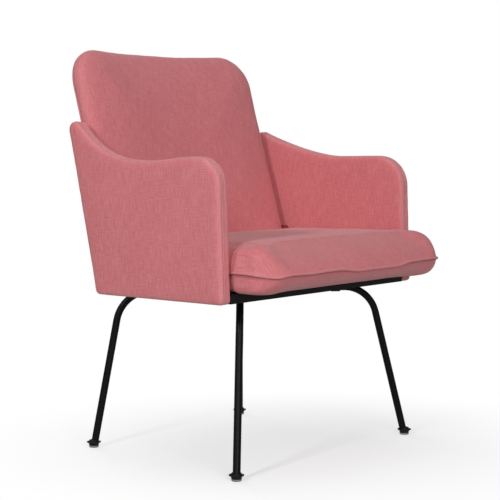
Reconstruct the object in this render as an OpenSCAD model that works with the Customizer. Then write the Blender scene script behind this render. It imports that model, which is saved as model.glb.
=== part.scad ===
// Upholstered armchair: two padded side panels, a tall padded back between them,
// a loose piped seat cushion on a webbed seat frame, and a bent steel tube underframe.
// Millimetres, +Z up, the sitter faces -Y, the floor is Z = 0.

/* [Arms] */
// Width over both arms
arm_span = 640; // [620:5:660]
// Thickness of one padded arm
arm_thickness = 32; // [30:1:34]
// Height of the arm's front top edge above the floor
arm_top = 608; // [600:1:616]
// How steeply the arm's top edge rises from its dip to the rear corner
arm_rise = 74; // [70:1:78]

/* [Seat] */
// Height of the shell's underside above the floor
shell_bottom = 333; // [329:1:337]
// Thickness of the loose seat cushion
cushion_thickness = 96; // [88:1:104]
// Length of the cushion's nose in front of the arms
cushion_nose = 105; // [90:1:110]

/* [Back] */
// Height of the back along its slope
back_height = 505; // [476:1:510]
// Lean of the back from upright, in degrees
back_lean = 16.3; // [14:0.1:18]
// Radius the back is curved to across its width
back_radius = 1500; // [1300:50:2500]

/* [Underframe] */
// Outside diameter of the leg tube
tube_diameter = 15; // [14:0.5:16]
// Bend radius of the leg tube's centre line
bend_radius = 73; // [65:1:78]
// Diameter of the glide cup's flared rim
cup_rim = 29.6; // [27:0.1:32]

/* [Hidden] */
$fa = 6;
$fs = 0.8;
eps = 0.01;
gap = 0.3;

// the y shift puts the middle of the whole chair's length at y = 0
y_shift = 112.6;

arm_outer_x = arm_span / 2;
arm_inner_x = arm_outer_x - arm_thickness;
arm_front_y = -301;
arm_rear_y = 27;
front_slope = 0.035;
rear_slope = 0.229;
arm_corner = 55;
rear_corner = 18;
pad_thickness = 11;
board_inset = 9;
pad_inset = 3;

rail_height = 16;
rail_top = shell_bottom + rail_height;
front_rail_top = shell_bottom + 19;
rail_width = 50;
frame_front_y = -298;
frame_rear_y = 26;
web_thickness = 2;
cloth_thickness = 1;
deck_top = rail_top + web_thickness + cloth_thickness;

cushion_bottom = deck_top + 0.5;
cushion_top = cushion_bottom + cushion_thickness;
cushion_half = arm_inner_x - 2;
cushion_front_y = arm_front_y - cushion_nose + 1;
seam_z = cushion_bottom + 36;
cover_thickness = 1.8;

back_half = 273;
back_foot_z = rail_top + 1;
back_foot_y = -1.4 + 0.293 * (back_foot_z - 440);
front_foam = 27;
batten_depth = 12;
board_depth = 8;
rear_foam = 13;
back_depth = front_foam + board_depth + rear_foam;
top_corner = 78;
flange = 12;
layer_gap = 0.15;

tube_r = tube_diameter / 2;
bore_r = tube_r - 1.6;
run_z = shell_bottom - tube_r - 0.05;
front_foot = [285, -309];
rear_foot = [238, 117];
front_lean = [-0.2083, 0.1452];
rear_lean = [-0.1448, -0.1184];
tube_foot_z = 6;
lap = 0.6;
bend_thinning = 0.12;
clip_front = 75;
clip_rear = 112;
clip_sheet = 2;

fabric_pink = [0.72, 0.36, 0.38];
fabric_shade = [0.62, 0.29, 0.31];
foam_cream = [0.90, 0.86, 0.70];
ply_tan = [0.78, 0.62, 0.42];
black = [0.07, 0.07, 0.07];
steel = [0.70, 0.71, 0.72];
nylon_grey = [0.55, 0.54, 0.58];
web_tan = [0.45, 0.33, 0.22];

// ---------- vectors and frames ----------

function unit(v) = v / norm(v);

function frame(o, x, y, z) = [[x[0], y[0], z[0], o[0]],
                              [x[1], y[1], z[1], o[1]],
                              [x[2], y[2], z[2], o[2]],
                              [0, 0, 0, 1]];

module along(o, d) {
    z = unit(d);
    x = unit(cross(abs(z[2]) > 0.9 ? [0, 1, 0] : [0, 0, 1], z));
    multmatrix(frame(o, x, cross(z, x), z))
        children();
}

module placed() {
    translate([0, y_shift, 0])
        children();
}

// ---------- underframe ----------

function foot_at(sx, front, z) =
    let (f = front ? front_foot : rear_foot, l = front ? front_lean : rear_lean)
    [sx * (f[0] + l[0] * z), f[1] + l[1] * z, z];

function leg_dir(sx, front) = unit(foot_at(sx, front, 1) - foot_at(sx, front, 0));

module tube_run(a, b, r) {
    along(a, b - a)
        cylinder(r = r, h = norm(b - a));
}

module tube_bend(corner, d1, d2, r) {
    turn = acos(d1 * d2);
    n1 = unit(d2 - (d2 * d1) * d1);
    start = corner - d1 * bend_tangent(d1, d2);
    centre = start + n1 * bend_radius;
    multmatrix(frame(centre, -n1, d1, cross(-n1, d1)))
        rotate_extrude(angle = turn)
            translate([bend_radius, 0])
                circle(r = r);
}

function bend_tangent(d1, d2) = bend_radius * tan(acos(d1 * d2) / 2);

// one leg from its foot up and round the bend; "to" is a point on the run under the seat
// the bend is drawn a little thinner, as a bent tube is, and each straight end laps into it
module leg_and_bend(sx, front, to, r, z0) {
    corner = foot_at(sx, front, run_z);
    d1 = leg_dir(sx, front);
    d2 = unit(to - corner);
    tube_run(foot_at(sx, front, z0), corner - d1 * (bend_tangent(d1, d2) - lap), r);
    tube_bend(corner, d1, d2, r - bend_thinning);
}

// the straight run between a leg's bend and the point "to"
module leg_run(sx, front, to, back_off, r) {
    corner = foot_at(sx, front, run_z);
    d1 = leg_dir(sx, front);
    d2 = unit(to - corner);
    tube_run(corner + d2 * (bend_tangent(d1, d2) - lap), to - d2 * back_off, r);
}

// the point where the two diagonal tubes cross under the seat
function cross_point() =
    let (a = foot_at(1, true, run_z), b = foot_at(-1, false, run_z))
    a + (b - a) * (a[0] / (a[0] - b[0]));

module long_run_solid() {
    a = foot_at(1, true, run_z);
    b = foot_at(-1, false, run_z);
    along(a, b - a)
        cylinder(r = tube_r + 0.02, h = norm(b - a));
}

module long_path(r, z0) {
    a = foot_at(1, true, run_z);
    b = foot_at(-1, false, run_z);
    off = bend_tangent(leg_dir(-1, false), unit(a - b));
    leg_and_bend(1, true, b, r, z0);
    leg_and_bend(-1, false, a, r, z0);
    leg_run(1, true, b, off - lap, r);
}

module leg_tube_long() {
    color(black)
        placed()
            difference() {
                long_path(tube_r, tube_foot_z);
                long_path(bore_r, tube_foot_z - 1);
            }
}

module half_path(sx, front, r, z0) {
    leg_and_bend(sx, front, cross_point(), r, z0);
    leg_run(sx, front, cross_point(), 0, r);
}

module leg_tube_half(sx, front) {
    color(black)
        placed()
            difference() {
                half_path(sx, front, tube_r, tube_foot_z);
                half_path(sx, front, bore_r, tube_foot_z - 1);
                long_run_solid();
            }
}

module leg_tube_front_half() {
    leg_tube_half(-1, true);
}

module leg_tube_rear_half() {
    leg_tube_half(1, false);
}

function clip_centre(sx, front) =
    let (corner = foot_at(sx, front, run_z), d = unit(foot_at(-sx, !front, run_z) - corner))
    corner + d * (front ? clip_front : clip_rear);

function clip_dir(sx, front) =
    unit(foot_at(-sx, !front, run_z) - foot_at(sx, front, run_z));

module at_clips() {
    for (sx = [-1, 1])
        for (front = [true, false]) {
            d = clip_dir(sx, front);
            multmatrix(frame(clip_centre(sx, front), d, cross([0, 0, 1], d), [0, 0, 1]))
                children();
        }
}

// saddle clip: a strap under the tube with an ear on each side
module tube_clip() {
    rotate([90, 0, 90])
        translate([0, 0, -9])
            linear_extrude(18)
                difference() {
                    union() {
                        difference() {
                            circle(r = tube_r + clip_sheet + 0.05);
                            translate([-20, 0.01])
                                square([40, 20]);
                        }
                        translate([-tube_r - clip_sheet - 0.05, 0])
                            square([2 * tube_r + 2 * clip_sheet + 0.1, tube_r]);
                        translate([-21, tube_r - clip_sheet])
                            square([42, clip_sheet]);
                    }
                    circle(r = tube_r + 0.05);
                    translate([-tube_r - 0.05, 0])
                        square([2 * tube_r + 0.1, tube_r + 1]);
                }
}

module tube_clips() {
    color(black)
        placed()
            at_clips()
                difference() {
                    tube_clip();
                    for (s = [-1, 1])
                        translate([0, s * 16, -20])
                            cylinder(d = 4.4, h = 40);
                }
}

module clip_screw() {
    translate([0, 0, tube_r - clip_sheet - 2.4])
        cylinder(d = 8, h = 2.35);
    translate([0, 0, tube_r - clip_sheet - 1])
        cylinder(d = 4, h = 14);
}

module at_clip_screws() {
    placed()
        at_clips()
            for (s = [-1, 1])
                translate([0, s * 16, 0])
                    children();
}

module clip_screws() {
    color(steel)
        at_clip_screws()
            clip_screw();
}

module clip_screw_holes() {
    at_clip_screws()
        cylinder(d = 4.2, h = 40);
}

module at_feet() {
    for (sx = [-1, 1])
        for (front = [true, false])
            multmatrix(frame(foot_at(sx, front, 0), [1, 0, 0], [0, 1, 0], [0, 0, 1]))
                children();
}

module leg_rods(r, z0, z1) {
    for (sx = [-1, 1])
        for (front = [true, false]) {
            a = foot_at(sx, front, z0);
            b = foot_at(sx, front, z1);
            along(a, b - a)
                cylinder(r = r, h = norm(b - a));
        }
}

module cup_profile() {
    polygon([[0, 4], [9.6, 4], [10.2, 5], [10.2, 7.6], [cup_rim / 2, 10.6],
             [cup_rim / 2, 12.0], [cup_rim / 2 - 1.4, 12.4], [10.6, 10.4], [9.6, 12.6],
             [9.4, 15.5], [0, 15.5]]);
}

module glide_cups() {
    color(black)
        placed()
            difference() {
                at_feet()
                    rotate_extrude()
                        cup_profile();
                leg_rods(tube_r + 0.05, tube_foot_z - 0.05, 30);
                leg_rods(bore_r, 0, 10);
            }
}

module glide_discs() {
    color(nylon_grey)
        placed() {
            at_feet()
                rotate_extrude()
                    polygon([[0, 0], [8.6, 0], [9.8, 1.2], [9.8, 3.95], [0, 3.95]]);
            leg_rods(bore_r - 0.1, 3, 32);
        }
}

// ---------- seat frame ----------

module front_rail() {
    color(black)
        difference() {
            placed()
                translate([-arm_inner_x + gap, frame_front_y, shell_bottom])
                    cube([2 * (arm_inner_x - gap), rail_width, rail_height]);
            clip_screw_holes();
        }
    color(black)
        placed()
            translate([-arm_inner_x + gap, frame_front_y, rail_top - eps])
                cube([2 * (arm_inner_x - gap), 14, front_rail_top - rail_top + eps]);
}

module rear_rail() {
    color(black)
        difference() {
            placed()
                translate([-arm_inner_x + gap, frame_rear_y - 58, shell_bottom])
                    cube([2 * (arm_inner_x - gap), 58, rail_height]);
            clip_screw_holes();
        }
}

module side_rail(sx) {
    difference() {
        placed()
            translate([sx > 0 ? arm_inner_x - gap - rail_width : -arm_inner_x + gap,
                       frame_front_y + rail_width, shell_bottom])
                cube([rail_width, frame_rear_y - 58 - frame_front_y - rail_width, rail_height]);
        rail_screw_holes();
    }
}

module side_rail_right() {
    color(black)
        side_rail(-1);
}

module side_rail_left() {
    color(black)
        side_rail(1);
}

module gusset(sx, sy, y0) {
    x0 = arm_inner_x - gap - rail_width;
    g = 104;
    translate([0, 0, shell_bottom])
        linear_extrude(rail_height)
            polygon([[sx * x0, y0], [sx * (x0 - g), y0], [sx * x0, y0 + sy * g]]);
}

module corner_gussets() {
    color(ply_tan)
        difference() {
            placed()
                for (sx = [-1, 1]) {
                    gusset(sx, 1, frame_front_y + rail_width);
                    gusset(sx, -1, frame_rear_y - 58);
                }
            clip_screw_holes();
        }
}

module seat_webbing() {
    open_front = frame_front_y + 14;
    pitch = 50;
    color(web_tan)
        placed()
            for (i = [0 : 4])
                translate([-arm_inner_x + 4, open_front + 8 + i * pitch, rail_top])
                    cube([2 * arm_inner_x - 8, 44, web_thickness]);
}

module platform_cloth() {
    color(black)
        placed()
            translate([-arm_inner_x + 2, frame_front_y + 15, rail_top + web_thickness])
                cube([2 * arm_inner_x - 4, 240, cloth_thickness]);
}

module dust_cover() {
    x0 = arm_inner_x - gap - rail_width;
    y0 = frame_front_y + rail_width;
    y1 = frame_rear_y - 58;
    g = 104;
    color(black)
        difference() {
            placed()
                translate([0, 0, shell_bottom + 1])
                    linear_extrude(1)
                        polygon([[x0 - g - 1, y0 + 0.2], [x0 - 0.2, y0 + g + 1],
                                 [x0 - 0.2, y1 - g - 1], [x0 - g - 1, y1 - 0.2],
                                 [-x0 + g + 1, y1 - 0.2], [-x0 + 0.2, y1 - g - 1],
                                 [-x0 + 0.2, y0 + g + 1], [-x0 + g + 1, y0 + 0.2]]);
            clip_screw_holes();
        }
}

module at_rail_screws() {
    placed()
        for (sx = [-1, 1])
            for (y = [-225, -135, -55])
                translate([sx * (arm_outer_x - pad_thickness), y, shell_bottom + 8])
                    rotate([0, -90 * sx, 0])
                        children();
}

module rail_screws() {
    color(steel)
        at_rail_screws() {
            translate([0, 0, 0.1])
                cylinder(d1 = 8.6, d2 = 4.4, h = 2.4);
            cylinder(d = 4.4, h = 44);
        }
}

module rail_screw_holes() {
    at_rail_screws() {
        translate([0, 0, 0.05])
            cylinder(d1 = 8.8, d2 = 4.6, h = 2.5);
        translate([0, 0, -2])
            cylinder(d = 4.6, h = 48);
    }
}

// ---------- arms ----------

// height of the arm's top edge at y, without any inset
function top_z(y) =
    let (dip = arm_top - 5.5)
    y < -118 ? dip + 5.5 * (0.5 + 0.5 * cos(180 * (y + 229) / 111))
             : dip + arm_rise * pow((y + 118) / 213, 2);

function front_y(z) = arm_front_y + front_slope * (z - shell_bottom);

function rear_y(z) = arm_rear_y + rear_slope * (z - shell_bottom);

function arm_points(e) =
    let (zc = arm_top - arm_corner,
         yc = front_y(zc) + arm_corner * 1.003,
         fa = atan(front_slope),
         ra = atan(rear_slope),
         rz = arm_top - 36.5 + arm_rise,
         ry = rear_y(rz) - rear_corner * 1.02,
         r1 = arm_corner - e,
         r2 = rear_corner - e)
    concat(
        [[front_y(shell_bottom) + e, shell_bottom + e]],
        [for (a = [180 - fa : -10 : 95]) [yc + r1 * cos(a), zc + r1 * sin(a)]],
        [for (y = [yc : 12 : ry - 14]) [y + e * 0.35 * max(0, (y + 110) / 180), top_z(y) - e]],
        [for (a = [115 : -18 : -ra]) [ry + r2 * cos(a), rz + r2 * sin(a)]],
        [[ry + r2 * cos(ra), rz - r2 * sin(ra)]],
        [[rear_y(shell_bottom) - e, shell_bottom + e]]);

// a slab of the arm outline, inset by e, between the distances a and b from the mid plane
module arm_slab(sx, e, a, b) {
    lo = sx > 0 ? a : -b;
    placed()
        translate([lo, 0, 0])
            rotate([90, 0, 90])
                linear_extrude(b - a)
                    polygon(arm_points(e));
}

module arm_board(sx) {
    a = arm_inner_x + pad_thickness;
    b = arm_outer_x - pad_thickness;
    difference() {
        arm_slab(sx, board_inset, a, b);
        rail_screw_holes();
        arm_bolt_holes();
    }
}

module arm_outer_pad(sx) {
    arm_slab(sx, pad_inset, arm_outer_x - pad_thickness, arm_outer_x);
}

module arm_inner_pad(sx) {
    difference() {
        arm_slab(sx, pad_inset, arm_inner_x, arm_inner_x + pad_thickness);
        rail_screw_holes();
        arm_bolt_holes();
    }
}

module arm_edge_band(sx) {
    a = arm_inner_x + pad_thickness;
    b = arm_outer_x - pad_thickness;
    difference() {
        arm_slab(sx, 0, a - 5, b + 5);
        arm_slab(sx, board_inset, a - 6, b + 6);
        arm_slab(sx, pad_inset, a - 6, a);
        arm_slab(sx, pad_inset, b, b + 6);
        rail_screw_holes();
    }
}

module arm_right_board() {
    color(ply_tan)
        arm_board(-1);
}

module arm_right_outer_pad() {
    color(fabric_pink)
        arm_outer_pad(-1);
}

module arm_right_inner_pad() {
    color(fabric_pink)
        arm_inner_pad(-1);
}

module arm_right_edge_band() {
    color(fabric_shade)
        arm_edge_band(-1);
}

module arm_left_board() {
    color(ply_tan)
        arm_board(1);
}

module arm_left_outer_pad() {
    color(fabric_pink)
        arm_outer_pad(1);
}

module arm_left_inner_pad() {
    color(fabric_pink)
        arm_inner_pad(1);
}

module arm_left_edge_band() {
    color(fabric_shade)
        arm_edge_band(1);
}

// bolts that hold the back between the arms, through a spacer in the gap
module at_arm_bolts() {
    placed()
        for (sx = [-1, 1])
            for (v = [28, 96])
                translate([sx * (arm_outer_x - pad_thickness),
                           back_foot_y + v * sin(back_lean) + 22 * cos(back_lean),
                           back_foot_z + v * cos(back_lean) - 22 * sin(back_lean)])
                    rotate([0, -90 * sx, 0])
                        children();
}

module arm_bolts() {
    color(steel)
        at_arm_bolts() {
            translate([0, 0, 0.1])
                cylinder(d1 = 12, d2 = 6, h = 3.2);
            cylinder(d = 6, h = 66);
        }
}

module arm_bolt_holes() {
    at_arm_bolts() {
        translate([0, 0, 0.05])
            cylinder(d1 = 12.2, d2 = 6.2, h = 3.3);
        translate([0, 0, -1])
            cylinder(d = 6.2, h = 68);
    }
}

module arm_spacers() {
    reach = arm_outer_x - pad_thickness - arm_inner_x;
    color(black)
        at_arm_bolts()
            translate([0, 0, reach + 0.05])
                difference() {
                    cylinder(d = 16, h = arm_inner_x - back_half - 0.1);
                    translate([0, 0, -1])
                        cylinder(d = 6.2, h = 40);
                }
}

// ---------- back ----------

module back_place() {
    placed()
        translate([0, back_foot_y, back_foot_z])
            rotate([-back_lean, 0, 0])
                children();
}

module round_rect(w, h, r) {
    translate([r, 0])
        square([w - 2 * r, h]);
    translate([0, r])
        square([w, h - 2 * r]);
    for (x = [r, w - r])
        for (y = [r, h - r])
            translate([x, y])
                circle(r = r);
}

// depth of the back's curve at x, 0 at the sides
function bow(x) = sqrt(pow(back_radius, 2) - pow(x, 2))
                - sqrt(pow(back_radius, 2) - pow(back_half, 2));

// how much the rounded front edge takes off at a distance s from the side
function edge_round(s, r) = s >= r ? 0 : r - sqrt(pow(r, 2) - pow(r - s, 2));

// the curved layer of the back between two depths, cut to half width h, front edges rounded by r
module curved_layer(d0, d1, h, r) {
    steps = 14;
    side = [0, 3, 8, 15, 24];
    inner = [for (i = [0 : steps]) -h + 34 + (2 * h - 68) * i / steps];
    front = concat([for (s = side) [-h + s, bow(-h + s) + d0 + edge_round(s, r)]],
                   [for (x = inner) [x, bow(x) + d0]],
                   [for (i = [4 : -1 : 0]) [h - side[i], bow(h - side[i]) + d0 + edge_round(side[i], r)]]);
    rear = [for (i = [steps : -1 : 0]) let (x = -h + 2 * h * i / steps) [x, bow(x) + d1]];
    translate([0, 0, -60])
        linear_extrude(back_height + 120)
            polygon(concat(front, rear));
}

// the back's outline seen from the front, inset by e
module face_outline(e) {
    h = back_half - e;
    r = top_corner - e;
    top = back_height - e;
    translate([0, 150, 0])
        rotate([90, 0, 0])
            linear_extrude(260)
                union() {
                    translate([-h - 20, -40])
                        square([2 * h + 40, top - r + 40]);
                    translate([-h + r, top - r - 1])
                        square([2 * h - 2 * r, r + 1]);
                    for (sx = [-1, 1])
                        translate([sx * (h - r), top - r])
                            circle(r = r);
                }
}

// side view of a layer whose front top edge is rounded by r
module top_round(r) {
    top = back_height;
    translate([-400, 0, 0])
        rotate([90, 0, 90])
            linear_extrude(800)
                polygon([[-20, -80], [-20, top - 60], [0.01, top - r], [r * 0.07, top - 0.63 * r],
                         [r * 0.25, top - 0.34 * r], [r * 0.55, top - 0.1 * r], [r, top + 1],
                         [200, top + 9], [200, -80]]);
}

module above_rail() {
    placed()
        translate([-500, -500, back_foot_z])
            cube([1000, 1000, 700]);
}

module back_layer(d0, d1, e, r) {
    intersection() {
        back_place()
            intersection() {
                curved_layer(d0, d1, back_half - e, r);
                face_outline(e);
                if (r > 0)
                    top_round(r);
            }
        above_rail();
    }
}

module batten(sx) {
    back_place()
        translate([sx > 0 ? 236 : -260, front_foam - batten_depth + 1.8, 20])
            cube([24, batten_depth, 250]);
}

module back_front_pad() {
    color(fabric_pink)
        difference() {
            back_layer(0, front_foam + board_depth, 0, 28);
            back_layer(front_foam - 0.02, front_foam + board_depth + 1, flange, 0);
            batten(-1);
            batten(1);
            arm_bolt_holes();
        }
}

module back_board() {
    color(ply_tan)
        back_layer(front_foam + layer_gap, front_foam + board_depth - layer_gap, flange + 0.1, 0);
}

module back_battens() {
    color(ply_tan)
        difference() {
            union() {
                batten(-1);
                batten(1);
            }
            arm_bolt_holes();
        }
}

module back_rear_pad() {
    color(fabric_pink)
        back_layer(front_foam + board_depth + layer_gap, back_depth, 0, 0);
}

// ---------- seat cushion ----------

function arc_pts(cy, cz, ry, rz, a0, a1, n) =
    [for (i = [0 : n]) let (a = a0 + (a1 - a0) * i / n) [cy + ry * cos(a), cz + rz * sin(a)]];

// y of the cushion's rear at height z, just in front of the leaning back
function cushion_rear(z) = back_foot_y - 1.6 + 0.2924 * (z - back_foot_z);

module cushion_side(e) {
    nose = -cushion_front_y;
    rise = cushion_top - seam_z - e;
    drop = seam_z - cushion_bottom - e;
    top = cushion_top;
    low = cushion_bottom;
    translate([-400, 0, 0])
        rotate([90, 0, 90])
            linear_extrude(800)
                polygon(concat(
                    arc_pts(-nose + 85, seam_z, 85 - e, rise, 180, 90, 10),
                    [[cushion_rear(top) - 26 - e, top - e],
                     [cushion_rear(top - 5) - 9 - e, top - 4 - e],
                     [cushion_rear(top - 16) - e, top - 16 - e],
                     [cushion_rear(low + 14) - e, low + 14 + e],
                     [cushion_rear(low + 3) - 6 - e, low + 3 + e],
                     [cushion_rear(low) - 18 - e, low + e]],
                    arc_pts(-nose + 75, seam_z, 75 - e, drop, 270, 185, 8)));
}

module cushion_plan(e) {
    h = cushion_half - e;
    f = cushion_front_y + e;
    r = 60 - e;
    translate([0, 0, cushion_bottom - 10])
        linear_extrude(cushion_thickness + 20)
            difference() {
                translate([-h, f])
                    round_rect(2 * h, 460, r);
                translate([-h - 1, 10])
                    square([2 * h + 2, 100]);
            }
}

module cushion_front(e) {
    h = cushion_half - e;
    rise = cushion_top - seam_z - e + 2;
    drop = seam_z - cushion_bottom - e;
    translate([0, 60, 0])
        rotate([90, 0, 0])
            linear_extrude(500)
                polygon(concat(
                    arc_pts(h - 44, seam_z, 44, rise, 0, 90, 8),
                    arc_pts(-h + 44, seam_z, 44, rise, 90, 180, 8),
                    arc_pts(-h + 36, seam_z, 36, drop, 180, 270, 6),
                    arc_pts(h - 36, seam_z, 36, drop, 270, 360, 6)));
}

module cushion_body(e) {
    placed()
        intersection() {
            cushion_side(e);
            cushion_plan(e);
            cushion_front(e);
        }
}

module cushion_shell() {
    difference() {
        cushion_body(0);
        cushion_body(cover_thickness);
    }
}

module cushion_top_cover() {
    color(fabric_pink)
        intersection() {
            cushion_shell();
            translate([-500, -500, seam_z])
                cube([1000, 1000, 200]);
        }
}

module cushion_lower_cover() {
    color(fabric_shade)
        difference() {
            cushion_shell();
            translate([-500, -500, seam_z])
                cube([1000, 1000, 200]);
            zip_slot(0.1);
        }
}

module zip_slot(g) {
    placed()
        translate([-180 - g, -60, seam_z - 16 - g])
            cube([360 + 2 * g, 80, 8 + 2 * g]);
}

module cushion_zip() {
    color(black)
        intersection() {
            cushion_shell();
            zip_slot(-0.1);
        }
}

// the welt runs round the nose at the seam, from one arm to the other
module cushion_piping() {
    h = cushion_half;
    f = cushion_front_y;
    r = 60;
    w = 2.2;
    color(fabric_pink)
        placed()
            translate([0, 0, seam_z]) {
                translate([-h + r, f - w, 0])
                    rotate([0, 90, 0])
                        cylinder(r = w, h = 2 * (h - r));
                for (sx = [-1, 1])
                    translate([sx * (h - r), f + r, 0])
                        rotate([0, 0, sx > 0 ? -90 : 180])
                            rotate_extrude(angle = 90)
                                translate([r + w, 0])
                                    circle(r = w);
            }
}

module cushion_core() {
    color(foam_cream)
        cushion_body(cover_thickness + 0.15);
}

leg_tube_long();
leg_tube_front_half();
leg_tube_rear_half();
tube_clips();
clip_screws();
glide_cups();
glide_discs();
front_rail();
rear_rail();
side_rail_right();
side_rail_left();
corner_gussets();
seat_webbing();
platform_cloth();
dust_cover();
rail_screws();
arm_right_board();
arm_right_outer_pad();
arm_right_inner_pad();
arm_right_edge_band();
arm_left_board();
arm_left_outer_pad();
arm_left_inner_pad();
arm_left_edge_band();
arm_bolts();
arm_spacers();
back_front_pad();
back_board();
back_battens();
back_rear_pad();
cushion_top_cover();
cushion_lower_cover();
cushion_piping();
cushion_core();
cushion_zip();
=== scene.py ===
"""Looks of the upholstered armchair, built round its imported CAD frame. Metres, +Z up, it faces -Y."""

import math

import bpy
import numpy as np
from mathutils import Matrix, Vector, noise


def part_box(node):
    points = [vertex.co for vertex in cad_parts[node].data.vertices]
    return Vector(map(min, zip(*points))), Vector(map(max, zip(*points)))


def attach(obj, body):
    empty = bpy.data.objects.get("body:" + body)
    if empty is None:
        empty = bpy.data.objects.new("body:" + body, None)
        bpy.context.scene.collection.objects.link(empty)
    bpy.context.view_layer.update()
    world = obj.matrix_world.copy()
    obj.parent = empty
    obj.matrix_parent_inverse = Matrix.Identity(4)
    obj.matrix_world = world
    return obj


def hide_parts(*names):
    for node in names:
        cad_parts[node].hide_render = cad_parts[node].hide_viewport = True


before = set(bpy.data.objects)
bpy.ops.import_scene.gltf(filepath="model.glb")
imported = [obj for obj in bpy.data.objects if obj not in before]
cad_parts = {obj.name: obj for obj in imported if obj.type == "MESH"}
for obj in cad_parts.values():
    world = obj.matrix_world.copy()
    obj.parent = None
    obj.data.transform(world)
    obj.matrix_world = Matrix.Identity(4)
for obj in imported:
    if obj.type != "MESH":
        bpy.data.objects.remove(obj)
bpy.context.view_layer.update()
scene = bpy.context.scene

# ---- sizes, from the CAD frame ----

MM = 0.001
BAND_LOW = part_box("arm_right_edge_band")[0]
SHELL_BOTTOM = BAND_LOW.z
ARM_FRONT = BAND_LOW.y
ARM_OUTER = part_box("arm_left_outer_pad")[1].x
ARM_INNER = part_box("arm_left_inner_pad")[0].x
Y0 = ARM_FRONT + 301 * MM
ARM_TOP = SHELL_BOTTOM + 275 * MM
BACK_LOW, BACK_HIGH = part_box("back_front_pad")
BACK_HALF = BACK_HIGH.x
BACK_FOOT_Z = BACK_LOW.z
BACK_FOOT_Y = BACK_LOW.y
DECK_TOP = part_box("platform_cloth")[1].z
LEAN = math.radians(16.3)
BACK_HEIGHT = 505.5 * MM
BACK_RADIUS = 1.5
SEAM_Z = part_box("cushion_piping")[0].z + 2.2 * MM
SEAM_LIFT = 391 * MM - SEAM_Z
NOSE_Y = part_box("cushion_top_cover")[0].y


# ---- small helpers ----

join = np.concatenate


def smooth(t):
    """0 below 0, 1 above 1, and a smooth step between."""
    t = np.clip(t, 0, 1)
    return t * t * (3 - 2 * t)


def run_length(points):
    """Length along a line of points, at each of them."""
    return join([[0], np.cumsum(np.linalg.norm(np.diff(points, axis=0), axis=1))])


def unit(vectors):
    return vectors / np.linalg.norm(vectors, axis=1)[:, None]


def resample(points, count):
    """That many steps of equal length along an open line of points."""
    points = np.asarray(points, float)
    along = run_length(points)
    wanted = np.linspace(0, along[-1], count + 1)
    return np.stack([np.interp(wanted, along, points[:, k]) for k in range(points.shape[1])], 1)


def arc(cx, cy, r, a0, a1, n=10):
    """Points on an arc, angles in degrees."""
    a = np.radians(np.linspace(a0, a1, n + 1))
    return np.stack([cx + r * np.cos(a), cy + r * np.sin(a)], 1)


def closed_loop(sides):
    """One anticlockwise loop from the bottom, right, top and left sides."""
    bottom, right, top, left = sides
    return join([bottom[:-1], right[:-1], top[::-1][:-1], left[::-1][:-1]])


def inward(loop, spread):
    """Inward normals of a closed loop, evened out over that length."""
    tangent = unit(np.roll(loop, -1, 0) - np.roll(loop, 1, 0))
    normal = np.stack([-tangent[:, 1], tangent[:, 0]], 1)
    step = np.linalg.norm(np.roll(loop, -1, 0) - loop, axis=1).mean()
    reach = int(3 * spread / step) + 1
    total = np.zeros_like(normal)
    weight = 0
    for j in range(-reach, reach + 1):
        w = math.exp(-0.5 * (j * step / spread) ** 2)
        total += w * np.roll(normal, j, 0)
        weight += w
    return total / weight


def split_sides(loop, nu, nv):
    """The four sides of a loop again, each from left to right or bottom to top."""
    again = join([loop, loop[:1]])
    bottom = again[: nu + 1]
    right = again[nu : nu + nv + 1]
    top = again[nu + nv : 2 * nu + nv + 1][::-1]
    left = again[2 * nu + nv :][::-1]
    return bottom, right, top, left


def coons(sides):
    """A grid of points that fills four sides."""
    bottom, right, top, left = sides
    nu, nv = len(bottom) - 1, len(left) - 1
    s = np.linspace(0, 1, nu + 1)[:, None, None]
    t = np.linspace(0, 1, nv + 1)[None, :, None]
    b, r = bottom[:, None, :], right[None, :, :]
    u, l = top[:, None, :], left[None, :, :]
    flat = (1 - s) * (1 - t) * bottom[0] + s * (1 - t) * bottom[-1]
    flat = flat + (1 - s) * t * top[0] + s * t * top[-1]
    return (1 - t) * b + t * u + (1 - s) * l + s * r - flat


def edge_distance(points, loop):
    """Distance of each point to a closed loop of points."""
    a = loop
    b = np.roll(loop, -1, 0)
    best = np.full(len(points), 1e9)
    for p, q in zip(a, b):
        d = q - p
        t = np.clip(((points - p) @ d) / max(d @ d, 1e-12), 0, 1)
        best = np.minimum(best, np.linalg.norm(points - p - t[:, None] * d, axis=1))
    return best


def unrolled(flat, height, normal):
    """Where each ring lies once the cloth is laid flat round its last ring."""
    out = unit(normal)
    laid = [flat[-1]]
    away = np.zeros(len(flat[-1]))
    for k in range(len(flat) - 2, -1, -1):
        step = np.linalg.norm(flat[k] - flat[k + 1], axis=1)
        away = away + np.hypot(step, height[k] - height[k + 1])
        laid.append(flat[-1] - out * away[:, None])
    return join(laid[::-1])


def ring_faces(start, count, rings, flip=False):
    """Quads between rings of points that follow each other."""
    faces = []
    for a in range(start, start + (rings - 1) * count, count):
        for i in range(count):
            j = (i + 1) % count
            faces.append((a + i, a + j, a + count + j, a + count + i))
    return [quad[::-1] for quad in faces] if flip else faces


def grid_faces(start, nu, nv, flip=False):
    """Quads of a grid stored column by column."""
    faces = []
    for i in range(nu):
        for j in range(nv):
            a = start + i * (nv + 1) + j
            faces.append((a, a + nv + 1, a + nv + 2, a + 1))
    return [quad[::-1] for quad in faces] if flip else faces


def weld(points, faces, data):
    """Joins points that lie on each other, and keeps their data."""
    key = np.round(points / 2e-6).astype(np.int64)
    _, first, index = np.unique(key, axis=0, return_index=True, return_inverse=True)
    index = index.reshape(-1)
    joined = []
    for face in faces:
        ids = [int(index[i]) for i in face]
        ids = [v for n, v in enumerate(ids) if v != ids[n - 1]]
        if len(ids) > 2:
            joined.append(ids)
    return points[first], joined, {k: v[first] for k, v in data.items()}


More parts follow.
